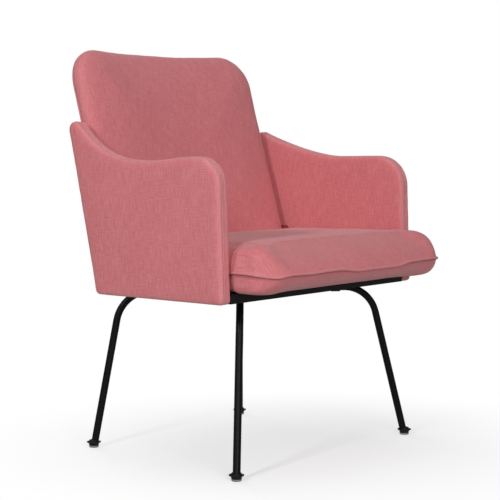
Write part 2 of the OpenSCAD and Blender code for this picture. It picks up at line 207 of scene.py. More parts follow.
def new_mesh(name, points, faces, data=None):
    """A smooth shaded object. data holds per-point floats or vectors."""
    mesh = bpy.data.meshes.new(name)
    mesh.from_pydata([tuple(p) for p in points], [], [tuple(f) for f in faces])
    mesh.validate()
    for key, values in (data or {}).items():
        kind = "FLOAT_VECTOR" if values.ndim == 2 else "FLOAT"
        layer = mesh.attributes.new(key, kind, "POINT")
        layer.data.foreach_set("vector" if values.ndim == 2 else "value", values.astype(np.float32).ravel())
    mesh.shade_smooth()
    obj = bpy.data.objects.new(name, mesh)
    scene.collection.objects.link(obj)
    return obj


def finer(obj, levels=1):
    """Adds a subdivision surface."""
    mod = obj.modifiers.new("finer", "SUBSURF")
    mod.levels = levels
    mod.render_levels = levels
    return obj


def shell(obj, thickness):
    """Gives an open cover its cloth thickness, on its inner side."""
    mod = obj.modifiers.new("cloth_thickness", "SOLIDIFY")
    mod.thickness = thickness
    mod.offset = -1
    return obj


def wrinkle(point, scale, seed):
    """Even noise from -1 to 1, the same each run."""
    return noise.noise(Vector(point) / scale + Vector((seed, 3.1 * seed, 0.7 * seed)))


def ride(obj, body, material):
    """Puts a piece on a body, and gives it its finish."""
    obj.data.materials.append(material)
    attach(obj, body)
    return obj


# ---- materials ----


def new_material(name):
    mat = bpy.data.materials.new(name)
    mat.use_nodes = True
    return mat, mat.node_tree, mat.node_tree.nodes["Principled BSDF"]


def node(tree, kind, **values):
    n = tree.nodes.new(kind)
    for key, value in values.items():
        setattr(n, key, value)
    return n


def set_inputs(n, values):
    for key, value in values.items():
        n.inputs[key].default_value = value


def math_node(tree, operation, a, b=None):
    n = node(tree, "ShaderNodeMath", operation=operation)
    for k, value in enumerate((a, b)):
        if value is None:
            continue
        if isinstance(value, (int, float)):
            n.inputs[k].default_value = value
        else:
            tree.links.new(value, n.inputs[k])
    return n.outputs[0]


def mix_colour(tree, factor, a, b):
    n = node(tree, "ShaderNodeMix", data_type="RGBA")
    for k, value in ((0, factor), (6, a), (7, b)):
        if isinstance(value, (int, float)):
            n.inputs[k].default_value = value
        elif isinstance(value, tuple):
            n.inputs[k].default_value = (*value, 1)
        else:
            tree.links.new(value, n.inputs[k])
    return n.outputs[2]


def tinted(tree, base, factor, share, over):
    """Lays that share of a colour over the base, where the factor is high."""
    return mix_colour(tree, math_node(tree, "MULTIPLY", factor, share), base, over)


def ranged(tree, value, low, high, start=0.0, end=1.0):
    """Turns low to high into start to end, with smooth ends."""
    n = node(tree, "ShaderNodeMapRange", interpolation_type="SMOOTHSTEP")
    set_inputs(n, {"From Min": low, "From Max": high, "To Min": start, "To Max": end})
    tree.links.new(value, n.inputs["Value"])
    return n.outputs[0]


def stretched_noise(tree, source, scale, detail=2.0, low=0.4, high=0.6):
    """Noise with its own scale each way, from 0 to 1 between low and high."""
    mapping = node(tree, "ShaderNodeMapping")
    mapping.inputs["Scale"].default_value = scale
    tree.links.new(source, mapping.inputs["Vector"])
    tex = node(tree, "ShaderNodeTexNoise")
    set_inputs(tex, {"Scale": 1, "Detail": detail})
    tree.links.new(mapping.outputs[0], tex.inputs["Vector"])
    return ranged(tree, tex.outputs[0], low, high)


def bump(tree, shader, height, strength, distance):
    n = node(tree, "ShaderNodeBump")
    set_inputs(n, {"Strength": strength, "Distance": distance})
    tree.links.new(height, n.inputs["Height"])
    tree.links.new(n.outputs[0], shader.inputs["Normal"])


def woven(name, dark, mid, light, pitch=1.25 * MM, sheen=0.28):
    """Plain weave of uneven yarn: long slubs along the warp, shorter ones across.

    The cloth lightens by its point value edge, a painted highlight along seams and rolls, and darkens by
    its point value shade, a painted shadow under a welt."""
    mat, tree, shader = new_material(name)
    cloth = node(tree, "ShaderNodeAttribute", attribute_name="cloth").outputs["Vector"]
    edge = node(tree, "ShaderNodeAttribute", attribute_name="edge").outputs["Fac"]
    parts = node(tree, "ShaderNodeSeparateXYZ")
    tree.links.new(cloth, parts.inputs[0])
    turn = 2 * math.pi / pitch
    across = math_node(tree, "SINE", math_node(tree, "MULTIPLY", parts.outputs[0], turn))
    along = math_node(tree, "SINE", math_node(tree, "MULTIPLY", parts.outputs[1], turn))
    weave = math_node(tree, "MULTIPLY", across, along)
    weave = math_node(tree, "ADD", math_node(tree, "MULTIPLY", weave, 0.5), 0.5)
    slub = stretched_noise(tree, cloth, (580, 34, 20), 2.5, 0.42, 0.68)
    fine = stretched_noise(tree, cloth, (900, 60, 60), 2.0, 0.4, 0.62)
    weft = stretched_noise(tree, cloth, (44, 660, 20), 2.0, 0.44, 0.68)
    dark_slub = stretched_noise(tree, cloth, (460, 20, 45), 2.0, 0.48, 0.74)
    cloudy = stretched_noise(tree, cloth, (9, 7, 9), 2.0, 0.3, 0.7)
    shade = node(tree, "ShaderNodeAttribute", attribute_name="shade").outputs["Fac"]
    # shade and this colour lay a painted shadow under the welt; edge, in the layers below, lays a painted
    # highlight
    shadow = tuple(0.45 * c for c in dark)
    layers = (
        (slub, 0.22, light), (dark_slub, 0.3, dark), (fine, 0.14, light), (weft, 0.2, light),
        (weave, 0.14, dark), (cloudy, 0.1, dark), (edge, 0.42, light), (shade, 0.95, shadow),
    )
    colour = mid
    for factor, share, over in layers:
        colour = tinted(tree, colour, factor, share, over)
    tree.links.new(colour, shader.inputs["Base Color"])
    height = math_node(tree, "ADD", math_node(tree, "MULTIPLY", weave, 0.5), slub)
    height = math_node(tree, "ADD", height, math_node(tree, "MULTIPLY", weft, 0.6))
    bump(tree, shader, height, 0.4, 0.3 * MM)
    rough = math_node(tree, "ADD", math_node(tree, "MULTIPLY", slub, 0.08), 0.82)
    tree.links.new(rough, shader.inputs["Roughness"])
    set_inputs(shader, {"Specular IOR Level": 0.25, "Sheen Weight": sheen})
    set_inputs(shader, {"Sheen Roughness": 0.45, "Sheen Tint": (1.0, 0.86, 0.86, 1)})
    return mat


def grained(name, dark, light, scale, roughness, metallic=0.0, strength=0.2, distance=0.1 * MM, spec=0.5):
    """Any hard finish: two colours in a stretched grain, with fine bump."""
    mat, tree, shader = new_material(name)
    coords = node(tree, "ShaderNodeTexCoord").outputs["Object"]
    grain = stretched_noise(tree, coords, scale, 4.0, 0.3, 0.7)
    fine = stretched_noise(tree, coords, tuple(3.7 * s for s in scale), 2.0, 0.3, 0.7)
    tree.links.new(tinted(tree, dark, grain, 0.9, light), shader.inputs["Base Color"])
    rough = math_node(tree, "ADD", math_node(tree, "MULTIPLY", grain, 0.12), roughness - 0.06)
    tree.links.new(rough, shader.inputs["Roughness"])
    height = math_node(tree, "ADD", grain, math_node(tree, "MULTIPLY", fine, 0.6))
    bump(tree, shader, height, strength, distance)
    set_inputs(shader, {"Metallic": metallic, "Specular IOR Level": spec})
    return mat


DARK = (0.50, 0.11, 0.122)
MID = (0.70, 0.180, 0.198)
LIGHT = (0.90, 0.47, 0.48)
FABRIC = woven("pink_weave", DARK, MID, LIGHT)
# BAND is a lighter copy of the pink weave: painted highlight on the arms' front and top roll
BAND = woven("pink_weave_lit_band", DARK, (0.75, 0.23, 0.245), LIGHT)
THREAD = grained("pink_thread", (0.42, 0.16, 0.165), (0.66, 0.36, 0.36), (900, 900, 900), 0.8, spec=0.2)
TUBE = grained(
    "tube_black", (0.004, 0.004, 0.0045), (0.008, 0.008, 0.0085), (700, 700, 700), 0.42, spec=0.14
)
BLACK = (0.006, 0.006, 0.006)
SOFT_BLACK = (0.012, 0.012, 0.012)
CLIP = grained("clip_black", BLACK, SOFT_BLACK, (500, 500, 500), 0.42, spec=0.25)
SCREW = grained("screw_steel", (0.42, 0.42, 0.43), (0.60, 0.60, 0.61), (900, 200, 900), 0.32, metallic=1.0)
CUP = grained("cup_black", BLACK, SOFT_BLACK, (400, 400, 400), 0.48, spec=0.25)
GLIDE = grained("glide_nylon", (0.22, 0.22, 0.24), (0.32, 0.32, 0.34), (300, 300, 300), 0.55)
RAIL = grained("rail_black", BLACK, (0.013, 0.012, 0.012), (30, 260, 260), 0.55, spec=0.2)
PLY = grained("plywood", (0.36, 0.22, 0.11), (0.56, 0.38, 0.21), (14, 180, 180), 0.6)
BATTEN = grained("batten_wood", (0.40, 0.26, 0.14), (0.58, 0.42, 0.25), (160, 160, 12), 0.62)
# the spacers and bolts are coloured dark red like the shaded gap beside the back, where they show: painted
# shade
SPACER = grained("spacer_beech_shadow_red", (0.27, 0.042, 0.046), (0.38, 0.062, 0.066), (160, 40, 160), 0.6, spec=0.2)
BOLT = grained("bolt_shadow_red", (0.20, 0.032, 0.036), (0.30, 0.05, 0.054), (600, 600, 600), 0.6)
FOAM = grained("foam", (0.62, 0.55, 0.36), (0.80, 0.73, 0.52), (420, 420, 420), 0.95, strength=0.5)
ZIP = grained("zip_plastic", (0.05, 0.02, 0.02), (0.12, 0.05, 0.05), (300, 300, 300), 0.6)
LINING = woven("lining_cloth", BLACK, SOFT_BLACK, (0.03, 0.03, 0.03), 0.9 * MM, 0.1)
WEBBING = woven("webbing", (0.05, 0.03, 0.018), (0.11, 0.07, 0.04), (0.24, 0.17, 0.11), 2.2 * MM, 0.1)


# ---- padded panels ----


def pad(name, sides, rings, spread, crown, place, flip, seam_fade=3 * MM):
    """A closed pad: a rolled edge from the seam, a crowned face, and a flat rear on its board.

    rings are (inset, height) from the seam inwards. crown(d, s, t) is the height of the face.
    place(u, v, h) turns arrays into points of the frame."""
    nu, nv = len(sides[0]) - 1, len(sides[1]) - 1
    loop = closed_loop(sides)
    normal = inward(loop, spread)
    count = len(loop)
    flat = [loop + normal * inset for inset, _ in rings]
    height = [np.full(count, h) for _, h in rings]
    face = coons(split_sides(flat[-1], nu, nv)).reshape(-1, 2)
    s, t = np.meshgrid(np.linspace(0, 1, nu + 1), np.linspace(0, 1, nv + 1), indexing="ij")
    depth = edge_distance(face, loop)
    face_height = crown(depth, s.ravel(), t.ravel())
    rim = (s.ravel() % 1 == 0) | (t.ravel() % 1 == 0)
    face_height[rim] = rings[-1][1]
    rear = coons(split_sides(flat[0], nu, nv)).reshape(-1, 2)
    uv = join([*flat, face, rear])
    h = join([*height, face_height, np.full(len(rear), rings[0][1])])
    faces = ring_faces(0, count, len(rings), flip)
    faces += grid_faces(count * len(rings), nu, nv, flip)
    faces += grid_faces(count * len(rings) + len(face), nu, nv, not flip)
    d = join([np.repeat([r[0] for r in rings], count), depth, np.full(len(rear), 0.2)])
    below = np.repeat([rings[-1][1] - r[1] for r in rings], count)
    drop = join([below, np.zeros(len(face) + len(rear))])
    laid = join([unrolled(flat, height, normal), face, rear])
    cloth = np.stack([laid[:, 0], laid[:, 1], drop * 0], 1)
    # edge is a painted highlight, lightest at the seam and fading inwards over seam_fade; pucker also reads
    # it as nearness to the seam
    edge = np.exp(-np.maximum(d + 0.35 * drop, 0) / seam_fade)
    points = place(uv[:, 0], uv[:, 1], h)
    loose = np.ones(count * (len(rings) - 1) + len(face))
    free = join([np.zeros(count), loose, np.zeros(len(rear))])
    points, faces, data = weld(points, faces, {"cloth": cloth, "edge": edge, "free": free})
    return new_mesh(name, points, faces, data)


def stored(obj, key):
    values = np.zeros(len(obj.data.vertices))
    obj.data.attributes[key].data.foreach_get("value", values)
    return values


def coordinates(obj):
    co = np.zeros(len(obj.data.vertices) * 3)
    obj.data.vertices.foreach_get("co", co)
    return co.reshape(-1, 3)


def set_coordinates(obj, co):
    obj.data.vertices.foreach_set("co", co.ravel())
    obj.data.update()


def puff(obj, free, cap, pressure=4.0, slack=0.0, frames=20):
    """Cloth simulation: the free part of a pad swells by at most cap. The rest is pinned."""
    sim = obj.copy()
    sim.data = obj.data.copy()
    scene.collection.objects.link(sim)
    group = sim.vertex_groups.new(name="pinned")
    for i, w in enumerate(free):
        group.add([i], float(1 - w), "REPLACE")
    mod = sim.modifiers.new("cloth", "CLOTH")
    settings = mod.settings
    settings.quality = 5
    settings.mass = 0.3
    settings.tension_stiffness = 18
    settings.compression_stiffness = 12
    settings.shear_stiffness = 6
    settings.bending_stiffness = 0.6
    settings.use_pressure = True
    settings.uniform_pressure_force = pressure
    settings.shrink_min = -slack
    settings.vertex_group_mass = "pinned"
    settings.effector_weights.gravity = 0
    mod.point_cache.frame_start = 1
    mod.point_cache.frame_end = frames
    for number in range(1, frames + 1):
        scene.frame_set(number)
    evaluated = sim.evaluated_get(bpy.context.evaluated_depsgraph_get())
    moved = np.array([v.co for v in evaluated.data.vertices])
    rest = coordinates(obj)
    move = moved - rest
    size = np.linalg.norm(move, axis=1)
    limited = cap * np.tanh(size / cap) * free
    move *= (limited / np.maximum(size, 1e-9))[:, None]
    set_coordinates(obj, rest + move)
    bpy.data.objects.remove(sim)
    scene.frame_set(1)


def pucker(obj, reach, size, wave, seed):
    """Small gathers that run into a seam, and a faint unevenness over the whole face."""
    co = coordinates(obj)
    edge = stored(obj, "edge")
    free = stored(obj, "free")
    normals = np.array([v.normal for v in obj.data.vertices])
    shift = np.zeros(len(co))
    for i, p in enumerate(co):
        if free[i] < 0.01:
            continue
        near = edge[i] ** 0.5
        shift[i] = size * near * (1 - near) * 3 * wrinkle(p, wave, seed)
        shift[i] += reach * wrinkle(p, 70 * MM, seed + 5)
    set_coordinates(obj, co + normals * (shift * free)[:, None])


# ---- arms ----

FRONT_SLOPE = 0.035
REAR_SLOPE = {"right": 0.229, "left": 0.285}
ARM_CORNER = {"right": 56 * MM, "left": 66 * MM}
REAR_CORNER = 16 * MM
FOOT_CORNER = 7 * MM
ARM_REAR = Y0 + 27 * MM
DIP_Y = Y0 - 118 * MM
DIP_RUN = 111 * MM
RISE_RUN = 213 * MM
ARM_SEAM_OUTER = ARM_OUTER - 11 * MM
ARM_SEAM_INNER = ARM_INNER + 9.5 * MM
# front height, height of the dip, rise behind it and its power; the real pair isn't quite even
ARM_SHAPE = {
    "right": (ARM_TOP, ARM_TOP - 8.5 * MM, 96 * MM, 2.95),
    "left": (ARM_TOP - 5 * MM, ARM_TOP - 6.5 * MM, 53 * MM, 1.55),
}


def arm_front_y(z):
    return ARM_FRONT + FRONT_SLOPE * (z - SHELL_BOTTOM)


def arm_rear_y(z, side):
    return ARM_REAR + REAR_SLOPE[side] * (z - SHELL_BOTTOM)


def arm_top_z(y, side):
    """Height of the arm's top edge: level in front, a shallow dip, then up to the rear corner."""
    top, dip, rise, power = ARM_SHAPE[side]
    back = y - DIP_Y
    if back < 0:
        return dip + (top - dip) * (0.5 + 0.5 * math.cos(math.pi * (back + DIP_RUN) / DIP_RUN))
    return dip + rise * (back / RISE_RUN) ** power


def arm_sides(side):
    """The arm's outline seen from the side, as four sides."""
    fa = math.degrees(math.atan(FRONT_SLOPE))
    ra = math.degrees(math.atan(REAR_SLOPE[side]))
    corner = ARM_CORNER[side]
    zc = ARM_SHAPE[side][0] - corner
    yc = arm_front_y(zc) + corner * 1.003
    rz = ARM_TOP
    for _ in range(6):
        ry = arm_rear_y(rz, side) - REAR_CORNER * 1.02
        rz = arm_top_z(ry - 10 * MM, side) + 2.5 * MM - REAR_CORNER * math.sin(math.radians(115))
    f = FOOT_CORNER
    zf = SHELL_BOTTOM + f
    front_foot = arc(arm_front_y(zf) + f, zf, f, 180 - fa, 270)
    rear_foot = arc(arm_rear_y(zf, side) - f * 0.9, zf, f, 270, 360 - ra)
    front_top = arc(yc, zc, corner, 180 - fa, 95, 24)
    curve = np.array([[y, arm_top_z(y, side)] for y in np.linspace(yc, ry - 10 * MM, 60)])
    rear_top = arc(ry, rz, REAR_CORNER, 115, -ra, 16)
    bottom = join([front_foot[5:], rear_foot[:6]])
    right = join([rear_foot[5:], rear_top[::-1][:9]])
    top = join([front_top[12:], curve[1:], rear_top[:9]])
    left = join([front_foot[:6][::-1], front_top[:13]])
    return resample(bottom, 58), resample(right, 50), resample(top, 58), resample(left, 50)


def arm_place(sx, base, direction):
    """Points of an arm's panel: u is y, v is z, and h goes out from the base plane."""
    return lambda u, v, h: np.stack([sx * (base + direction * h), u, v], 1)


def face_crown(level, rise, spread):
    """A face that rises gently from its roll to its middle."""
    return lambda d, s, t: level + rise * (1 - np.exp(-np.maximum(d - 0.026, 0) / spread))


# rolls are (inset, height) in mm from the seam inwards
OUTER_ROLL = [
    (0.2, 0), (-0.3, 2.0), (0.0, 4.4), (1.4, 6.9), (3.8, 8.8), (7.6, 10.1), (14, 10.8), (24, 11.0),
]
INNER_ROLL = [
    (0.2, 0), (-0.2, 1.8), (0.3, 4.0), (1.6, 6.0), (3.8, 7.6), (7.4, 8.7), (13, 9.2), (23, 9.4),
]


def in_mm(pairs):
    return [(a * MM, b * MM) for a, b in pairs]


def arm_pads(side, sx):
    sides = arm_sides(side)
    outer = pad(
        f"arm_{side}_outer_cover", sides, in_mm(OUTER_ROLL), 22 * MM,
        face_crown(11.0 * MM, 0.3 * MM, 0.05), arm_place(sx, ARM_SEAM_OUTER, 1), sx < 0,
    )
    inner = pad(
        f"arm_{side}_inner_cover", sides, in_mm(INNER_ROLL), 22 * MM,
        face_crown(9.4 * MM, 0.2 * MM, 0.05), arm_place(sx, ARM_SEAM_INNER, -1), sx > 0,
    )
    for obj, node_name, seed in ((outer, "outer_pad", 1.7), (inner, "inner_pad", 4.2)):
        puff(obj, 0.8 * stored(obj, "free"), 0.7 * MM, 1.2)
        pucker(obj, 0.35 * MM, 0.5 * MM, 9 * MM, seed + sx)
        finer(obj)
        ride(obj, "chair", FABRIC)
        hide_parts(f"arm_{side}_{node_name}")


def arm_band(side, sx):
    """The narrow strip sewn between the two panels, with a raised seam on each side."""
    loop = closed_loop(arm_sides(side))
    normal = inward(loop, 8 * MM)
    lo, hi = ARM_SEAM_INNER - 0.6 * MM, ARM_SEAM_OUTER + 0.6 * MM
    wide = hi - lo
    profile = [
        (0.00, 8.0), (0.00, 1.0), (0.04, -0.2), (0.11, -0.6), (0.19, -0.3), (0.27, 0.0), (0.5, 0.0),
        (0.73, 0.0), (0.81, -0.4), (0.89, -0.9), (0.96, -0.3), (1.00, 1.3), (1.00, 8.0),
    ]
    points = []
    data = []
    for share, inset in profile:
        flat = loop + normal * inset * MM
        x = np.full(len(loop), sx * (lo + share * wide))
        points.append(np.stack([x, flat[:, 0], flat[:, 1]], 1))
        # the two seam ridges get a high edge value: a painted highlight along them
        data.append(np.full(len(loop), 0.8 if inset < -0.7 else 0.1))
    points.append(points[0])
    data.append(data[0])
    along = run_length(loop)
    lanes = [np.full(len(loop), k * 1.2 * MM) for k in range(len(points))]
    cloth = join([np.stack([lane, along, along * 0], 1) for lane in lanes])
    faces = ring_faces(0, len(loop), len(points), sx < 0)
    data = {"cloth": cloth, "edge": join(data)}
    points, faces, kept = weld(join(points), faces, data)
    obj = finer(new_mesh(f"arm_{side}_seam_band", points, faces, kept))
    ride(obj, "chair", BAND)
    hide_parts(f"arm_{side}_edge_band")


def left_board():
    """The left arm's board, cut to that arm's slightly lower rear corner."""
    loop = closed_loop(arm_sides("left"))
    normal = inward(loop, 8 * MM)
    lo, hi = ARM_SEAM_INNER + 0.2 * MM, ARM_SEAM_OUTER - 0.2 * MM
    points, faces = [], []
    for x, inset in ((lo, 9.0), (lo + 0.6 * MM, 8.5), (hi - 0.6 * MM, 8.5), (hi, 9.0)):
        flat = loop + normal * inset * MM
        points.append(np.stack([np.full(len(flat), x), flat[:, 0], flat[:, 1]], 1))
    faces += ring_faces(0, len(loop), 4)
    rim = split_sides(loop + normal * 9.0 * MM, 58, 50)
    face = coons(rim).reshape(-1, 2)
    for k, x in enumerate((lo, hi)):
        faces += grid_faces(4 * len(loop) + k * len(face), 58, 50, k == 0)
        points.append(np.stack([np.full(len(face), x), face[:, 0], face[:, 1]], 1))
    points, faces, _ = weld(join(points), faces, {})
    obj = new_mesh("arm_left_plywood", points, faces)
    ride(obj, "chair", PLY)
    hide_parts("arm_left_board")


# share of the length, lift and thickness along one stitch
STITCH_BEND = (
    (-0.5, -0.5, 0.35), (-0.28, 0.3, 0.9), (0, 0.62, 1.0), (0.28, 0.3, 0.9), (0.5, -0.5, 0.35),
)


def stitch(centre, across, up, length, r):
    """One short stitch: a bent, pointed bead of thread."""
    points = []
    for share, lift, size in STITCH_BEND:
        middle = centre + across * share * length + up * lift * r
        side = np.cross(across, up)
        for a in range(6):
            angle = a * math.pi / 3
            points.append(middle + (math.cos(angle) * side + math.sin(angle) * up) * r * size)
    return points


def stitches(side, sx):
    """Hand stitches over the outer seam, down the front edge and along the top."""
    loop = closed_loop(arm_sides(side))
    start = len(arm_sides(side)[0]) - 1
    run = join([loop[start + 6 :], loop[:1]])
    run = resample(run, int(run_length(run)[-1] / (3.6 * MM)))
    points, faces = [], []
    for i in range(1, len(run) - 1):
        tangent = run[i + 1] - run[i - 1]
        tangent = tangent / np.linalg.norm(tangent)
        out = np.array([0, tangent[1], -tangent[0]])
        centre = np.array([sx * (ARM_SEAM_OUTER + 0.4 * MM), run[i][0], run[i][1]]) - out * 0.1 * MM
        base = len(points)
        points += stitch(centre, np.array([float(sx), 0, 0]), out, 5.0 * MM, 0.4 * MM)
        faces += [tuple(base + v for v in f) for f in ring_faces(0, 6, 5, sx > 0)]
        faces += [tuple(base + v for v in range(6)), tuple(base + 24 + v for v in range(5, -1, -1))]
    obj = new_mesh(f"arm_{side}_stitches", np.array(points), faces)
    ride(obj, "chair", THREAD)


# ---- back ----

TOP_CORNER = 78 * MM
BOARD_DEPTH = 35 * MM


def bow(x):
    """How far the back's curve lies behind its sides."""
    return np.sqrt(BACK_RADIUS**2 - x**2) - math.sqrt(BACK_RADIUS**2 - BACK_HALF**2)


def back_place(u, v, depth):
    """u is x, v goes up the slope, depth goes rearwards from the front."""
    depth = depth + bow(np.clip(u, -BACK_HALF, BACK_HALF))
    y = BACK_FOOT_Y + v * math.sin(LEAN) + depth * math.cos(LEAN)
    z = BACK_FOOT_Z + v * math.cos(LEAN) - depth * math.sin(LEAN)
    return np.stack([u, y, np.maximum(z, BACK_FOOT_Z + 0.2 * MM)], 1)


def back_sides(inset=0.0):
    h = BACK_HALF - inset
    top = BACK_HEIGHT - inset
    r = TOP_CORNER
    f = 8 * MM
    low_left = arc(-h + f, f, f, 180, 270)
    low_right = arc(h - f, f, f, 270, 360)
    up_right = arc(h - r, top - r, r, 0, 90, 20)
    up_left = arc(-h + r, top - r, r, 90, 180, 20)
    bottom = join([low_left[5:], low_right[:6]])
    right = join([low_right[5:], up_right[:11]])
    across = join([up_right[10:], up_left[:11]])[::-1]
    left = join([up_left[10:], low_left[:6]])[::-1]
    return resample(bottom, 84), resample(right, 78), resample(across, 84), resample(left, 78)


FRONT_ROLL = [
    (1.2, 0), (0.2, 3.5), (-0.6, 8), (-0.2, 13), (1.4, 17.6), (4.4, 21.4), (8.8, 24.8), (14.5, 27.8),
    (22, 30.8), (31, 33.6), (41, 36.2), (52, 38.6),
]
REAR_ROLL = [
    (1.4, 0), (1.3, 2.0), (2.4, 4.2), (4.8, 6.6), (8.2, 8.8), (12.6, 10.6), (18.5, 12), (26, 12.7),
    (35, 13),
]


def front_face(d, s, t):
    """The back's face goes on rising from its roll for a hand's breadth, then lies level.

    It rises less low down, where the seat cushion leans on it."""
    above = smooth((t * BACK_HEIGHT - 0.05) / 0.14)
    return (38.6 + (4 + 10 * above) * (1 - np.exp(-np.maximum(d / MM - 52, 0) / 55))) * MM


def back_pads():
    sides = back_sides(0.5 * MM)
    front = pad(
        "back_front_cover", sides, in_mm(FRONT_ROLL), 40 * MM, front_face,
        lambda u, v, h: back_place(u, v, BOARD_DEPTH - h), False, seam_fade=5 * MM,
    )
    rear = pad(
        "back_rear_cover", sides, in_mm(REAR_ROLL), 26 * MM, face_crown(13 * MM, 0.4 * MM, 0.06),
        lambda u, v, h: back_place(u, v, BOARD_DEPTH + 0.5 * MM + h), True, seam_fade=5 * MM,
    )
    puff(front, 0.9 * stored(front, "free"), 2.5 * MM, 3.0, 0.002)
    pucker(front, 1.0 * MM, 0.6 * MM, 11 * MM, 2.3)
    puff(rear, 0.8 * stored(rear, "free"), 1 * MM, 1.5)
    pucker(rear, 0.5 * MM, 0.5 * MM, 11 * MM, 6.1)
    for obj, node_name in ((front, "back_front_pad"), (rear, "back_rear_pad")):
        co = coordinates(obj)
        co[:, 2] = np.maximum(co[:, 2], BACK_FOOT_Z + 0.1 * MM)
        set_coordinates(obj, co)
        finer(obj)
        ride(obj, "chair", FABRIC)
        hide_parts(node_name)


# ---- seat cushion ----

CUSHION_HALF = ARM_INNER - 1.8 * MM
NOSE_HALF = ARM_INNER + 11 * MM
NOSE_CORNER = 56 * MM
GRIP_Y = ARM_FRONT + 2 * MM

TOP_NOSE = [
    (0, 0), (0.6, 4), (3, 11), (8, 19), (15.5, 27), (26, 35), (40, 42.5), (56, 48.6), (74, 53),
]
TOP_SIDE = [
    (0, 0), (0.2, 9), (0.5, 19), (1.4, 29), (4, 37.6), (9, 44.6), (16.5, 49.6), (27, 53.2), (42, 55.4),
]
TOP_REAR = [
    (0, 0), (-2.4, 9), (-5.4, 19), (-7.8, 29), (-7.6, 37.6), (-4.2, 44.6), (3, 49.6), (14, 53), (29, 55),
]
LOW_NOSE = [
    (0, 0), (2, -6), (6, -12), (12, -18), (20.5, -23.4), (31, -28.4), (43, -32.6), (57, -35.8), (73, -37.6),
]
LOW_SIDE = [
    (0, 0), (0.3, -8), (0.8, -16), (2, -22.6), (5, -28), (10, -32), (17, -34.6), (27, -35.6), (42, -36),
]
LOW_REAR = [
    (0, 0), (2.6, -9), (5.2, -18), (8.4, -26), (13, -31), (20, -34), (30, -35.4), (42, -36), (57, -36),
]


def cushion_half(y):
    """Half width of the cushion: gripped between the arms, wider in front of them."""
    return CUSHION_HALF + (NOSE_HALF - CUSHION_HALF) * smooth((GRIP_Y - y) / (16 * MM))


def cushion_sides():
    """The seam line seen from above, as front, right, rear and left sides."""
    r = NOSE_CORNER
    front = NOSE_Y + 1.5 * MM
    right_arc = arc(NOSE_HALF - r, front + r, r, 270, 360, 20)
    rear_y = BACK_FOOT_Y - 2.2 * MM + 0.2924 * (SEAM_Z - BACK_FOOT_Z)
    side_y = np.linspace(front + r, rear_y - 14 * MM, 120)
    side = np.stack([cushion_half(side_y), side_y], 1)
    rear_arc = arc(CUSHION_HALF - 14 * MM, rear_y - 14 * MM, 14 * MM, 0, 90, 8)
    rear_x = np.linspace(CUSHION_HALF - 20 * MM, 0, 40)
    rear = np.stack([rear_x, rear_y + 0.7 * bow(rear_x) * smooth((CUSHION_HALF - rear_x) / 0.06)], 1)
    half_front = np.stack([np.linspace(0, NOSE_HALF - r, 30), np.full(30, front)], 1)
    half_front[:, 1] -= 1.5 * MM * (1 - (half_front[:, 0] / (NOSE_HALF - r)) ** 2)
    front_half = join([half_front, right_arc[1:11]])
    right = join([right_arc[10:], side[1:], rear_arc[1:5]])
    rear_half = join([rear_arc[4:], rear[1:]])
    mirror = np.array([-1, 1])
    front_line = join([(front_half * mirror)[::-1], front_half[1:]])
    rear_line = join([(rear_half * mirror), rear_half[::-1][1:]])
    left = right * mirror
    return resample(front_line, 96), resample(right, 72), resample(rear_line, 96), resample(left, 72)


def hump(x, middle, width):
    return np.exp(-(((x / MM - middle) / width) ** 2))


def seam_wave(x, y):
    """The seam isn't level: it sags across the middle and near one corner."""
    across = x / MM
    sag = 6.3 * smooth((across + 95) / 75) * smooth((166 - across) / 62)
    ends = 0.8 * smooth((across - 180) / 20) - 4.5 * smooth((across - 262) / 25)
    wave = ends - sag - 3.6 * hump(x, -272, 18) - 1.6 * hump(x, -180, 35)
    rise = 3.3 * smooth((y - NOSE_Y - 0.02) / 0.05) * (across < 0)
    return (SEAM_LIFT + (wave + rise) * MM) * smooth((GRIP_Y + 0.02 - y) / 0.03)


def cushion_rings(loop, normal, nose, side, rear, w_nose, w_rear):
    """Rings from the seam inwards, with a profile that changes round the cushion."""
    rings = []
    for (dn, zn), (ds, zs), (dr, zr) in zip(nose, side, rear):
        d = ds + (dn - ds) * w_nose + (dr - ds) * w_rear
        z = zs + (zn - zs) * w_nose + (zr - zs) * w_rear
        flat = loop + normal * (d * MM)[:, None]
        rings.append((flat, z * MM))
    return rings


def cushion_half_shell(rings, normal, nu, nv, crown, fade):
    """Points of the cushion's upper or lower half, above or below the seam, with their nearness to the seam
    and cloth laid flat.
    """
    count = len(rings[0][0])
    flat = [r[0] for r in rings]
    lift = [r[1] for r in rings]
    face = coons(split_sides(flat[-1], nu, nv)).reshape(-1, 2)
    rim = np.stack([lift[-1], lift[-1]], 1)
    base = coons(split_sides(rim, nu, nv)).reshape(-1, 2)[:, 0]
    s, t = np.meshgrid(np.linspace(0, 1, nu + 1), np.linspace(0, 1, nv + 1), indexing="ij")
    z = base + crown(s.ravel(), t.ravel())
    uv = join([*flat, face])
    lifts = join([*lift, z])
    laid = join([unrolled(flat, lift, normal), face])
    d = join([np.repeat(np.arange(len(rings)) * 9.0 * MM, count), edge_distance(face, flat[0])])
    # the third value, nearness to the seam, later lays the painted highlight or the painted shadow
    return uv, lifts, np.exp(-d / fade), laid


def top_crown(s, t):
    """The seat's face is a little higher in its middle."""
    return 3.2 * MM * (1 - (2 * s - 1) ** 4) * (1 - (2 * t - 1) ** 4)


def low_crown(s, t):
    """The lower face lies level on the platform."""
    return np.zeros(len(s * t))


